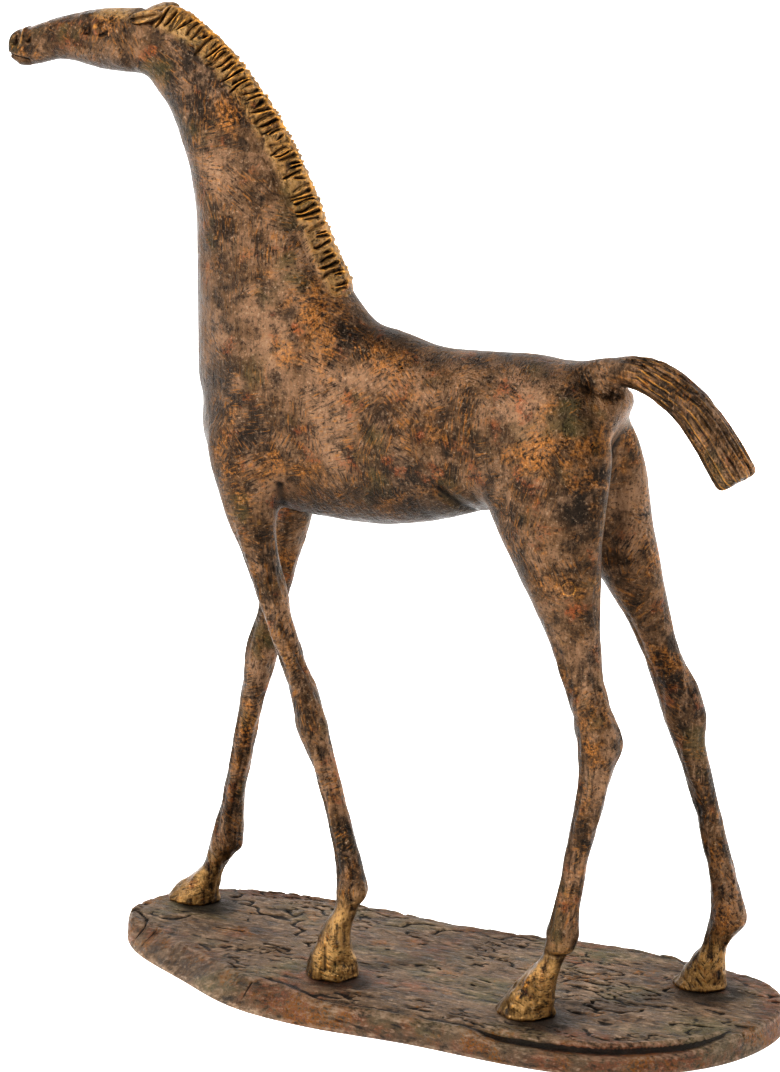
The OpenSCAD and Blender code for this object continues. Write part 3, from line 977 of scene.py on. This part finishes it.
def separate(skin):
    """The horse's skin cut at its joints, as one object for each casting."""
    normals = skin.normals()
    layer = skin.mesh.attributes.new(UNCUT, "FLOAT_VECTOR", "POINT")
    layer.data.foreach_set("vector", normals.astype(np.float32).ravel())
    bm = bmesh.new()
    bm.from_mesh(skin.mesh)
    faces = list(bm.faces)
    for zone, point, normal in joint_zones(face_centres(skin.mesh)):
        cut(bm, [faces[k] for k in np.flatnonzero(zone)], point, normal)
    mesh = bpy.data.meshes.new("horse")
    bm.to_mesh(mesh)
    bm.free()
    label = casting_of(face_centres(mesh))
    mesh.polygons.foreach_set("material_index", label.astype(np.int32))
    set_smooth(mesh)
    for _ in CASTINGS:
        mesh.materials.append(None)
    whole = new_object("horse", mesh)
    bpy.ops.object.select_all(action="DESELECT")
    bpy.context.view_layer.objects.active = whole
    whole.select_set(True)
    bpy.ops.mesh.separate(type="MATERIAL")
    pieces = {}
    for obj in list(bpy.context.selected_objects):
        obj.data.materials.clear()
        name = CASTINGS[np.bincount(casting_of(face_centres(obj.data))).argmax()]
        obj.name = name + "_bronze"
        obj.select_set(False)
        pieces[name] = obj
    return pieces


# ---------------------------------------------------------------- capped joints with their bores

def dowels():
    """Centre, axis, radius and half length of every dowel, read from the CAD nodes."""
    found = []
    for node in ("head_dowel", "tail_dowel", "leg_dowels", "foot_dowels"):
        co = points_of(frame["nodes"][node].data)
        groups = [co]
        if node.endswith("s"):
            groups = [co[in_quarter(co, limb)] for limb in LIMBS]
        for group in groups:
            centre = (group.min(0) + group.max(0)) / 2
            _, _, axes = np.linalg.svd(group - centre, full_matrices=False)
            axis = axes[0]
            along = (group - centre) @ axis
            across = size_of(group - centre - along[:, None] * axis)
            found.append((centre, axis, float(across.max()), float(along.max())))
    return found


def shade_as_uncut(mesh):
    """Shades both sides of a joint alike, with the normals that the skin had before it was cut."""
    corner = np.zeros(len(mesh.loops), np.int32)
    mesh.loops.foreach_get("vertex_index", corner)
    total = np.zeros(len(mesh.polygons), np.int32)
    mesh.polygons.foreach_get("loop_total", total)
    curved = np.zeros(len(mesh.polygons), bool)
    mesh.polygons.foreach_get("use_smooth", curved)
    normals = read(mesh.attributes[UNCUT].data, "vector")[corner]
    normals /= np.maximum(size_of(normals), 1e-9)[:, None]
    normals[~np.repeat(curved, total)] = 0          # flat faces keep their own
    mesh.normals_split_custom_set(normals.tolist())
    mesh.attributes.remove(mesh.attributes[UNCUT])


def rings_of(bm):
    """Closed loops of open edges, in an order that every run repeats."""
    left = dict.fromkeys(e for e in bm.edges if e.is_boundary)
    rings = []
    while left:
        edge = left.popitem()[0]
        ring = [edge.verts[0], edge.verts[1]]
        while ring[-1] is not ring[0]:
            step = next((e for e in ring[-1].link_edges if e in left), None)
            if step is None:
                break
            left.pop(step)
            ring.append(step.other_vert(ring[-1]))
        rings.append(ring[:-1])
    return rings


def angle_order(points, centre, u, v):
    d = np.array(points) - centre
    return np.arctan2(d @ v, d @ u)


def zip_rings(bm, outer, inner, centre, u, v):
    """Fills the band between two rings round a centre with triangles."""
    def ordered(ring):
        angle = angle_order([p.co for p in ring], centre, u, v)
        turn = np.unwrap(np.append(angle, angle[0]))
        if turn[-1] < turn[0]:
            ring, angle = ring[::-1], angle[::-1]
        first = int(np.argmin(angle))
        ring = ring[first:] + ring[:first]
        angle = np.unwrap(np.roll(angle, -first))
        return ring + ring[:1], np.append(angle, angle[0] + 2 * math.pi)

    outer, outer_at = ordered(list(outer))
    inner, inner_at = ordered(list(inner))
    i = j = 0
    while i < len(outer) - 1 or j < len(inner) - 1:
        step_out = j == len(inner) - 1 or (i < len(outer) - 1 and outer_at[i + 1] <= inner_at[j + 1])
        if step_out:
            bm.faces.new((outer[i], outer[i + 1], inner[j]))
            i += 1
        else:
            bm.faces.new((outer[i], inner[j + 1], inner[j]))
            j += 1


def cap(obj, bores):
    """Closes each open end with a flat face that holds the blind bore of its dowel."""
    bm = bmesh.new()
    bm.from_mesh(obj.data)
    body = np.array([v.co for v in bm.verts]).mean(0)
    for ring in rings_of(bm):
        edge = np.array([v.co for v in ring])
        middle = edge.mean(0)
        centre, axis, radius, depth = min(bores, key=lambda b: np.linalg.norm(b[0] * MM - middle))
        centre = centre * MM
        inwards = axis * np.sign((body - centre) @ axis)
        u = Vector(inwards).orthogonal().normalized()
        v = Vector(inwards).cross(u)
        turns = [2 * math.pi * k / BORE_SIDES for k in range(BORE_SIDES)]
        offsets = [radius * MM * (math.cos(t) * u + math.sin(t) * v) for t in turns]
        mouth = [bm.verts.new(Vector(centre) + o) for o in offsets]
        floor = [bm.verts.new(p.co + Vector(inwards) * depth * MM) for p in mouth]
        before = set(bm.faces)
        zip_rings(bm, ring, mouth, centre, np.array(u), np.array(v))
        for k in range(BORE_SIDES):
            m = (k + 1) % BORE_SIDES
            bm.faces.new((mouth[k], mouth[m], floor[m], floor[k]))
        bm.faces.new(floor)
        for f in set(bm.faces) - before:
            f.smooth = False
    shade_as_uncut(turn_outwards(bm, obj.data))


# ---------------------------------------------------------------- making it

def stand_for(obj, slot, *nodes):
    """Puts a piece in a CAD node's place."""
    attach(obj, "root")
    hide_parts(*nodes)


def make_horse():
    skin = rough_horse()
    sculpt_horse(skin)
    skin.keep("relief", skin.relief(10))
    skin.write()
    tree = tree_of(skin.mesh)
    pieces = separate(skin)
    bores = dowels()
    bores.append((NECK_JOINT[0], NECK_JOINT[1], 10.0, 8.0))
    for name, obj in pieces.items():
        cap(obj, bores)
        stand_for(obj, "body_bronze", name)
    mane = make_mane(tree)
    stand_for(mane, "mane_bronze", "mane")
    plugs = make_plugs(tree)
    stand_for(plugs, "plug_bronze", "core_plugs")
    for node in ("left_ear", "right_ear"):
        pieces[node] = make_ear(node)
        stand_for(pieces[node], "body_bronze", node)
    return list(pieces.values()), mane, plugs


# ---------------------------------------------------------------- materials

def rgb(red, green, blue):
    """Linear colour of a display colour given from 0 to 255."""
    def linear(c):
        c = c / 255
        return c / 12.92 if c <= 0.04045 else ((c + 0.055) / 1.055) ** 2.4
    return (linear(red), linear(green), linear(blue), 1)


class Paint:
    """A material built from textures laid out in mm."""

    def __init__(self, name):
        self.material = bpy.data.materials.new(name)
        self.material.use_nodes = True
        self.tree = self.material.node_tree
        self.shader = self.tree.nodes["Principled BSDF"]
        coords = self.node("ShaderNodeTexCoord")
        scale = self.node("ShaderNodeVectorMath", operation="SCALE")
        self.feed(scale, {0: coords.outputs["Object"], "Scale": 1 / MM})
        self.place = scale.outputs[0]
        self.colour = None      # what is painted so far

    def node(self, kind, **settings):
        node = self.tree.nodes.new(kind)
        for key, value in settings.items():
            setattr(node, key, value)
        return node

    def feed(self, node, values):
        """Links or sets a node's inputs."""
        for key, value in values.items():
            if isinstance(value, bpy.types.NodeSocket):
                self.tree.links.new(value, node.inputs[key])
            else:
                node.inputs[key].default_value = value
        return node.outputs

    def moved(self, pitch, seed):
        """The place divided by a pitch in each direction, and shifted."""
        pitch = pitch if isinstance(pitch, tuple) else (pitch,) * 3
        shift = (seed * 3.7, seed * 1.9, seed * 5.3)
        values = {"Vector": self.place, "Scale": [1 / p for p in pitch], "Location": shift}
        return self.feed(self.node("ShaderNodeMapping"), values)[0]

    def noise(self, pitch, detail=3, roughness=0.6, seed=0, distortion=0.0):
        values = {"Vector": self.moved(pitch, seed), "Scale": 1, "Detail": detail,
                  "Roughness": roughness, "Distortion": distortion}
        return self.feed(self.node("ShaderNodeTexNoise"), values)["Fac"]

    def number(self, name):
        """A number kept with the mesh."""
        return self.node("ShaderNodeAttribute", attribute_name=name).outputs["Fac"]

    def math(self, operation, *values):
        """The values combined from left to right."""
        total = values[0]
        for value in values[1:]:
            node = self.node("ShaderNodeMath", operation=operation)
            total = self.feed(node, {0: total, 1: value})[0]
        return total

    def times(self, *values):
        return self.math("MULTIPLY", *values)

    def plus(self, *values):
        return self.math("ADD", *values)

    def span(self, value, low, high, to_low=0.0, to_high=1.0):
        node = self.node("ShaderNodeMapRange", interpolation_type="SMOOTHSTEP")
        return self.feed(node, dict(enumerate((value, low, high, to_low, to_high))))[0]

    def coat(self, colour, *shares):
        """Lays a colour over what is painted so far, as thickly as the shares' product."""
        node = self.node("ShaderNodeMix", data_type="RGBA")
        self.colour = self.feed(node, {0: self.times(*shares), 6: self.colour, 7: colour})[2]

    def ground(self, value, stops):
        """The first coat: colours blended along a value."""
        node = self.node("ShaderNodeValToRGB")
        points = node.color_ramp.elements
        while len(points) < len(stops):
            points.new(0.5)
        for point, (place, colour) in zip(points, stops):
            point.position = place
            point.color = colour
        self.colour = self.feed(node, {0: value})[0]

    def hatch(self, pitch, reach, patch, seed):
        """Short parallel strokes of the file that change direction from patch to patch."""
        cells = self.node("ShaderNodeTexVoronoi")
        colour = self.feed(cells, {"Vector": self.moved(patch, seed), "Scale": 1})["Color"]
        split = self.feed(self.node("ShaderNodeSeparateColor"), {0: colour})
        turn = self.times(split[0], math.pi)
        cosine, sine = (self.feed(self.node("ShaderNodeMath", operation=name), {0: turn})[0]
                        for name in ("COSINE", "SINE"))
        x, y, z = self.feed(self.node("ShaderNodeSeparateXYZ"), {0: self.place})
        across = self.plus(self.times(x, cosine), self.times(z, sine))
        along = self.math("SUBTRACT", self.times(z, cosine), self.times(x, sine))
        spot = {0: self.times(across, 1 / pitch), 1: self.times(along, 1 / reach),
                2: self.times(y, 0.5 / pitch)}
        spot = self.feed(self.node("ShaderNodeCombineXYZ"), spot)[0]
        values = {"Vector": spot, "Scale": 1, "Detail": 2}
        return self.feed(self.node("ShaderNodeTexNoise"), values)["Fac"]

    def finish(self, roughness, metallic, height):
        """Links the shader: the colour painted, roughness, metal and a height in mm."""
        bump = self.feed(self.node("ShaderNodeBump"), {"Distance": MM, "Height": height})[0]
        self.feed(self.shader, {"Base Color": self.colour, "Roughness": roughness,
                                "Metallic": metallic, "Normal": bump})
        return self.material


# Near-black, for dark patina and streaks, and also for painted shade in hollows and cracks.
SOOT_AND_SHADE = rgb(14, 10, 6)
UMBER = rgb(38, 27, 16)
BROWN = rgb(80, 58, 36)
MAUVE = rgb(126, 99, 76)
OCHRE = rgb(150, 98, 38)
GOLD = rgb(228, 168, 84)
BRASS = rgb(168, 134, 84)
RUST = rgb(128, 64, 26)
OLIVE = rgb(64, 57, 28)
STONE = rgb(108, 86, 64)
PALE = rgb(172, 148, 124)
LICHEN = rgb(96, 86, 58)


def bronze(name, gilt):
    """Dark brown patina, rubbed to mauve, ochre and gold, with painted shade on faces turned down or
    to the front and in the hollows, and painted glints on the grain.
    """
    p = Paint(name)
    relief, gild = p.number("relief"), p.number("gilded")
    mottle = p.noise(6, 6, 0.7, 2)
    grain = p.noise(1.1, 4, 0.72, 3)
    drag = p.noise((1.6, 1.6, 9), 4, 0.65, 4)
    strokes = p.hatch(0.62, 4.5, 15, 5)
    marked = p.span(p.noise(17, 2, 0.5, 6), 0.36, 0.56)
    lines = p.plus(0.25, p.times(p.number("streaked"), 0.6))
    golden = p.span(p.plus(mottle, p.times(drag, 0.6)), 0.62, 0.86)
    raised = p.span(p.plus(relief, p.times(grain, 0.14)), 0.12, 0.34)
    p.ground(p.noise(26, 3, 0.55, 1), [(0.34, UMBER), (0.5, BROWN), (0.68, MAUVE)])
    p.coat(MAUVE, p.span(mottle, 0.48, 0.66), 0.7)
    p.coat(UMBER, p.span(mottle, 0.52, 0.38), 0.8)
    p.coat(MAUVE, p.span(drag, 0.54, 0.68), lines)
    p.coat(SOOT_AND_SHADE, p.span(drag, 0.48, 0.34), lines)
    p.coat(OCHRE, p.span(p.noise(19, 4, 0.65, 7), 0.52, 0.66), p.span(grain, 0.42, 0.6), 0.7)
    p.coat(RUST, p.span(p.noise(10, 4, 0.65, 9), 0.56, 0.7), p.span(grain, 0.4, 0.6), 0.7)
    p.coat(OLIVE, p.span(p.noise(22, 3, 0.6, 10), 0.56, 0.7), 0.6)
    p.coat(BRASS, gild, golden, 0.75)
    p.coat(OCHRE, p.span(strokes, 0.55, 0.7), marked, 0.5)
    p.coat(SOOT_AND_SHADE, p.span(strokes, 0.46, 0.3), marked, 0.8)
    # Painted shade: umber over faces turned down or to the front.
    p.coat(UMBER, p.number("painted_shade"), 0.8)
    # Painted glints: pale flecks on the peaks of the fine grain.
    p.coat(PALE, p.span(grain, 0.55, 0.72), 0.4)
    p.coat(SOOT_AND_SHADE, p.span(grain, 0.47, 0.33), 0.8)
    # Darker patina and painted shade in the hollows, where the skin sinks below its surroundings.
    p.coat(SOOT_AND_SHADE, p.span(relief, -0.01, -0.22), 0.9)
    p.coat(GOLD, raised, p.plus(gilt, p.times(gild, 0.45)))
    rough = p.span(p.plus(mottle, p.times(grain, 0.4)), 0.5, 0.95, 0.27, 0.5)
    height = p.plus(p.times(strokes, marked, 0.3), p.times(grain, 0.35), p.times(drag, 0.4),
                    p.times(mottle, 0.8))
    return p.finish(rough, p.plus(0.7, p.times(raised, 0.2)), height)


def slab_paint():
    """Slate-like bronze: grey-brown plates, cracks darkened by patina and painted shade, rusty
    verge, painted darker round the hooves.
    """
    p = Paint("slab_patina")
    relief, near_hooves, verge = p.number("relief"), p.number("scorch"), p.number("verge")
    mottle = p.noise((8, 4, 4), 6, 0.72, 12)
    flake = p.noise((3.2, 1.3, 1.6), 5, 0.72, 16)
    grain = p.noise(0.9, 4, 0.7, 13)
    patch = p.plus(p.noise(15, 4, 0.65, 15), p.times(verge, 0.07), p.times(near_hooves, 0.04))
    golden = p.times(p.span(patch, 0.57, 0.7), p.span(grain, 0.42, 0.6))
    rusty = p.span(p.plus(p.noise(24, 4, 0.65, 14), p.times(verge, 0.1)), 0.52, 0.68)
    p.ground(p.noise((34, 20, 20), 3, 0.55, 11), [(0.36, BROWN), (0.52, STONE), (0.68, LICHEN)])
    p.coat(PALE, p.span(mottle, 0.5, 0.68), 0.6)
    p.coat(UMBER, p.span(mottle, 0.5, 0.34), 0.75)
    p.coat(RUST, rusty, p.span(flake, 0.4, 0.58), 0.75)
    p.coat(OCHRE, golden, 0.8)
    p.coat(PALE, p.span(flake, 0.53, 0.68), 0.6)
    p.coat(SOOT_AND_SHADE, p.span(flake, 0.47, 0.3), 0.85)
    p.coat(UMBER, p.span(grain, 0.46, 0.28), 0.6)
    # Painted darker close round the hooves.
    p.coat(SOOT_AND_SHADE, p.span(near_hooves, 0.3, 0.9), p.span(mottle, 0.3, 0.5), 0.85)
    # Darker patina and painted shade in the cracks and other hollows of the slab.
    p.coat(SOOT_AND_SHADE, p.span(relief, -0.01, -0.13), 0.9)
    p.coat(PALE, p.span(relief, 0.05, 0.25), p.span(flake, 0.4, 0.65), 0.6)
    p.coat(UMBER, verge, 0.35)
    rough = p.span(p.plus(mottle, p.times(grain, 0.4)), 0.5, 0.95, 0.36, 0.66)
    height = p.plus(p.times(grain, 0.4), mottle, p.times(flake, 1.1))
    return p.finish(rough, p.plus(0.35, p.times(golden, 0.3)), height)


def metal_paint(name, light, dark, roughness):
    """Machined or drawn metal of the fixings."""
    p = Paint(name)
    lines = p.noise((2.5, 2.5, 0.25), 3, 0.6, 21)
    p.colour = light
    p.coat(dark, p.span(p.noise(3, 3, 0.6, 22), 0.4, 0.7))
    rough = p.span(lines, 0.3, 0.7, roughness - 0.08, roughness + 0.12)
    return p.finish(rough, 0.95, p.times(lines, 0.03))


def felt_paint():
    p = Paint("felt_green")
    fibre = p.noise((0.5, 0.5, 0.5), 4, 0.75, 31, 1.5)
    p.colour = rgb(34, 46, 32)
    p.coat(rgb(66, 82, 58), p.span(fibre, 0.35, 0.65))
    p.coat(rgb(30, 38, 28), p.span(p.noise(9, 2, 0.5, 32), 0.4, 0.7), 0.3)
    return p.finish(p.span(fibre, 0.3, 0.7, 0.85, 1.0), 0.0, p.times(fibre, 0.4))


# ---------------------------------------------------------------- stage, lights, camera

WHITE = (1, 1, 1, 1)


def make_stage():
    """Pale paper floor with a faint glow of its own."""
    mesh = bpy.data.meshes.new("floor")
    far = 6.0
    mesh.from_pydata([(-far, -far, 0), (far, -far, 0), (far, far, 0), (-far, far, 0)],
                     [], [(0, 1, 2, 3)])
    floor = new_object("floor", mesh)
    p = Paint("floor_paper")
    p.feed(p.shader, {"Base Color": (0.9, 0.9, 0.9, 1), "Roughness": 0.9, "Metallic": 0,
                      "Emission Color": WHITE, "Emission Strength": 0.75})
    mesh.materials.append(p.material)
    floor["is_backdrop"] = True


def area_light(name, place, target, size, power):
    data = bpy.data.lights.new(name, "AREA")
    data.shape = "RECTANGLE"
    data.size, data.size_y = size
    data.energy = power
    lamp = new_object(name, data)
    lamp.location = place
    lamp.rotation_euler = (Vector(target) - Vector(place)).to_track_quat("-Z", "Y").to_euler()


def make_world():
    """White studio, darker on the camera's side so that edges catch the light."""
    world = bpy.data.worlds.new("studio")
    world.use_nodes = True
    bpy.context.scene.world = world
    nodes, links = world.node_tree.nodes, world.node_tree.links
    way = nodes.new("ShaderNodeTexCoord")
    share = nodes.new("ShaderNodeVectorMath")
    share.operation = "DOT_PRODUCT"
    share.inputs[1].default_value = towards_camera()
    links.new(way.outputs["Generated"], share.inputs[0])
    span = nodes.new("ShaderNodeMapRange")
    for value, socket in zip((-0.85, 0.1, 1.1, 0.14), list(span.inputs)[1:5]):
        socket.default_value = value
    links.new(share.outputs["Value"], span.inputs[0])
    links.new(span.outputs[0], nodes["Background"].inputs["Strength"])
    nodes["Background"].inputs["Color"].default_value = WHITE


def make_lights():
    make_world()
    middle = (0, 0, 0.17)
    area_light("key", (-0.7, -1.2, 1.3), middle, (0.5, 0.5), 35)
    area_light("strip", (-0.9, -1.6, 0.3), middle, (0.2, 1.2), 3)
    area_light("fill", (1.5, -0.7, 0.5), middle, (0.4, 1.2), 6)
    area_light("rim", (0.9, 1.0, 0.7), middle, (0.4, 1.2), 12)
    area_light("back", (-1.2, 0.9, 0.6), middle, (0.4, 1.2), 5)


def towards_camera():
    azimuth, elevation = math.radians(26), math.radians(16)
    level = math.cos(elevation)
    return Vector((math.sin(azimuth) * level, -math.cos(azimuth) * level, math.sin(elevation)))


def make_camera():
    centre = (Vector(CAD_BOX[0]) + Vector(CAD_BOX[1])) / 2
    aim = centre + Vector((-13.6, 32.5, -17.3)) * MM
    towards, distance = towards_camera(), 1.5
    data = bpy.data.cameras.new("camera")
    data.sensor_fit = "VERTICAL"
    data.sensor_height = 36
    data.lens = 148.16      # fills the frame as the photograph does
    camera = new_object("camera", data)
    camera.location = aim + towards * distance
    camera.rotation_euler = (-towards).to_track_quat("-Z", "Y").to_euler()
    bpy.context.scene.camera = camera


def paint(objects, material):
    for obj in objects:
        obj.data.materials.clear()
        obj.data.materials.append(material)


def paint_fixings():
    nodes = frame["nodes"]
    brass = metal_paint("drawn_brass", rgb(190, 150, 88), rgb(140, 104, 60), 0.35)
    inner = ("neck_sleeve", "head_dowel", "tail_dowel", "leg_dowels", "foot_dowels")
    paint([nodes[n] for n in inner], brass)
    steel = metal_paint("zinc_steel", rgb(176, 178, 180), rgb(120, 122, 124), 0.3)
    paint([nodes[n] for n in ("foot_screws", "foot_washers")], steel)
    paint([nodes["base_felt"]], felt_paint())


horse, mane, plugs = make_horse()
paint(horse + [mane], bronze("body_patina", 0.35))
paint([plugs], bronze("plug_patina", 0.6))
slab = make_slab()
stand_for(slab, "slab_bronze", "base_plate")
paint([slab], slab_paint())
paint_fixings()
make_stage()
make_lights()
make_camera()
view = bpy.context.scene.view_settings
view.view_transform = "Standard"
view.look = "High Contrast"

boxes = {"cad": CAD_BOX, "visual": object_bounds()}
{k: [list(c) for c in box] for k, box in boxes.items()}
